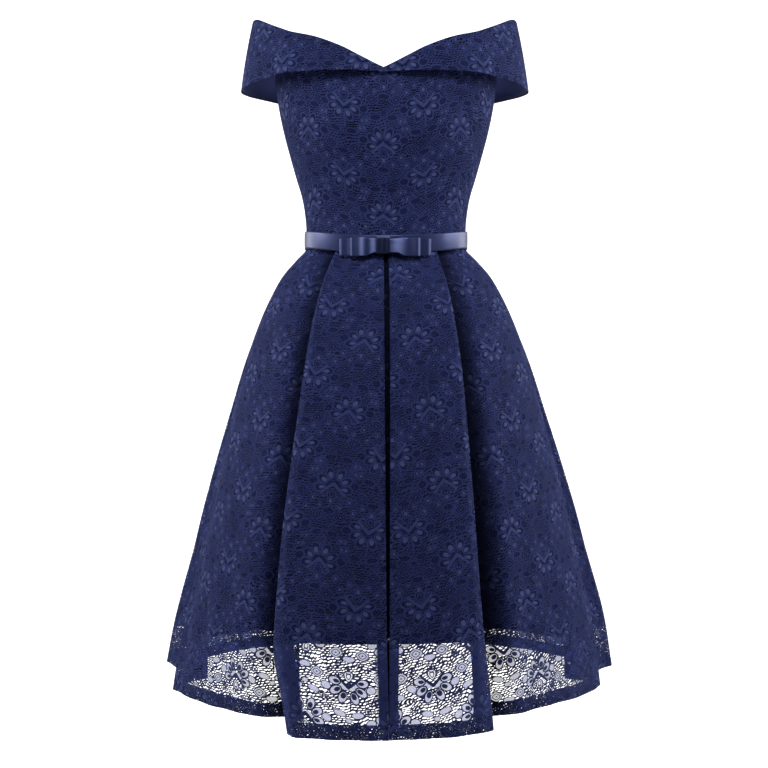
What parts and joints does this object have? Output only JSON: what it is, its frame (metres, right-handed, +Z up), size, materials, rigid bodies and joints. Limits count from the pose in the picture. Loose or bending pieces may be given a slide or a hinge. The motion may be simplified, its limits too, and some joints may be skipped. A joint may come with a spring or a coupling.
{
  "type": "cocktail dress",
  "caption": "Off-the-shoulder cocktail dress in lace over a plain lining, with a fold-over collar that runs on as sleeve bands, a ribbon belt with a flat bow and a pleated flared skirt.",
  "frame": {"origin": "middle of the waist, on the body's axis at the side waist seams' height, where the wearer or form holds the dress", "axes": "+Z up along the body, -Y the front of the dress, +X the wearer's left"},
  "size_m": [0.686, 0.5766, 0.9756],
  "materials": {
    "lace": "navy corded lace, soft sheen on the motifs, matte net between",
    "collar_lace": "the same navy lace laid over its plain backing, a little lighter",
    "lining": "plain navy lining, smooth and faintly shiny",
    "satin": "navy satin ribbon with long soft highlights",
    "zip": "woven navy zip tape, matte",
    "zip_metal": "navy enamelled zip slider and pull tab, semi-gloss"
  },
  "bodies": {
    "dress": {"bodice_front": "lace", "bodice_back_left": "lace", "bodice_back_right": "lace", "collar_left": "collar_lace", "collar_right": "collar_lace", "collar_facing_left": "lining", "collar_facing_right": "lining", "skirt_front": "lace", "skirt_back_left": "lace", "skirt_back_right": "lace", "lining_front": "lining", "lining_back_left": "lining", "lining_back_right": "lining", "belt_ribbon": "satin", "bow_lower": "satin", "bow_upper": "satin", "bow_knot": "satin", "zip_tape": "zip", "zip_slider": "zip_metal"},
    "pull": {"zip_pull": "zip_metal"}
  },
  "joints": [
    {"name": "pull_swing", "type": "hinge", "parent": "dress", "child": "pull", "pos_m": [0, 0.1063, 0.236], "axis": [1, 0, 0], "range_deg": [0, 150]}
  ]
}
